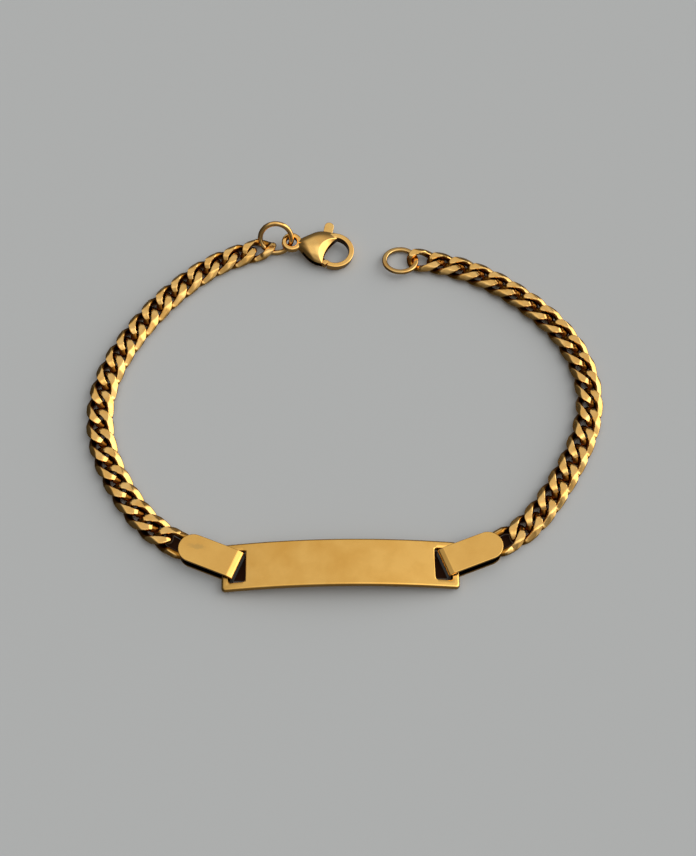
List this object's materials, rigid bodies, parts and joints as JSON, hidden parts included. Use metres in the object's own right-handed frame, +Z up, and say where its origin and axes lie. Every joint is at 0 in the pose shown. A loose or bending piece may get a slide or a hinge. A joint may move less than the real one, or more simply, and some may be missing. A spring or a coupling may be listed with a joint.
{
  "type": "id bracelet",
  "caption": "Open id bracelet: arched plain name plate, folded end tabs, two diamond-cut curb chains, end ring, jump ring and a sprung lobster clasp.",
  "frame": {"origin": "middle of the bracelet's box, on the surface that it lies on", "axes": "+X along the name plate, +Y from the plate to the clasp, +Z up from the surface"},
  "size_m": [0.078, 0.0632, 0.0051],
  "materials": {
    "plate_gold": "polished gold plating, a little mottled",
    "tab_gold": "polished gold plating on folded strip",
    "chain_gold": "diamond-cut gold plating",
    "ring_gold": "bright gold plating on wire",
    "clasp_gold": "polished gold plating on a casting"
  },
  "bodies": {
    "bracelet": {"id_plate": "plate_gold", "tab_left": "tab_gold", "tab_right": "tab_gold", "chain_left": "chain_gold", "chain_right": "chain_gold", "jump_ring": "ring_gold", "end_ring": "ring_gold", "clasp_body": "clasp_gold", "clasp_pin": "clasp_gold"},
    "lever": {"clasp_lever": "clasp_gold"}
  },
  "joints": [
    {"name": "lever_hinge", "type": "hinge", "parent": "bracelet", "child": "lever", "pos_m": [-0.00497, 0.02713, 0.00157], "axis": [0.0717, -0.1219, 0.9899], "range_deg": [0, 25], "stiffness_Nm_per_rad": 0.0005}
  ]
}
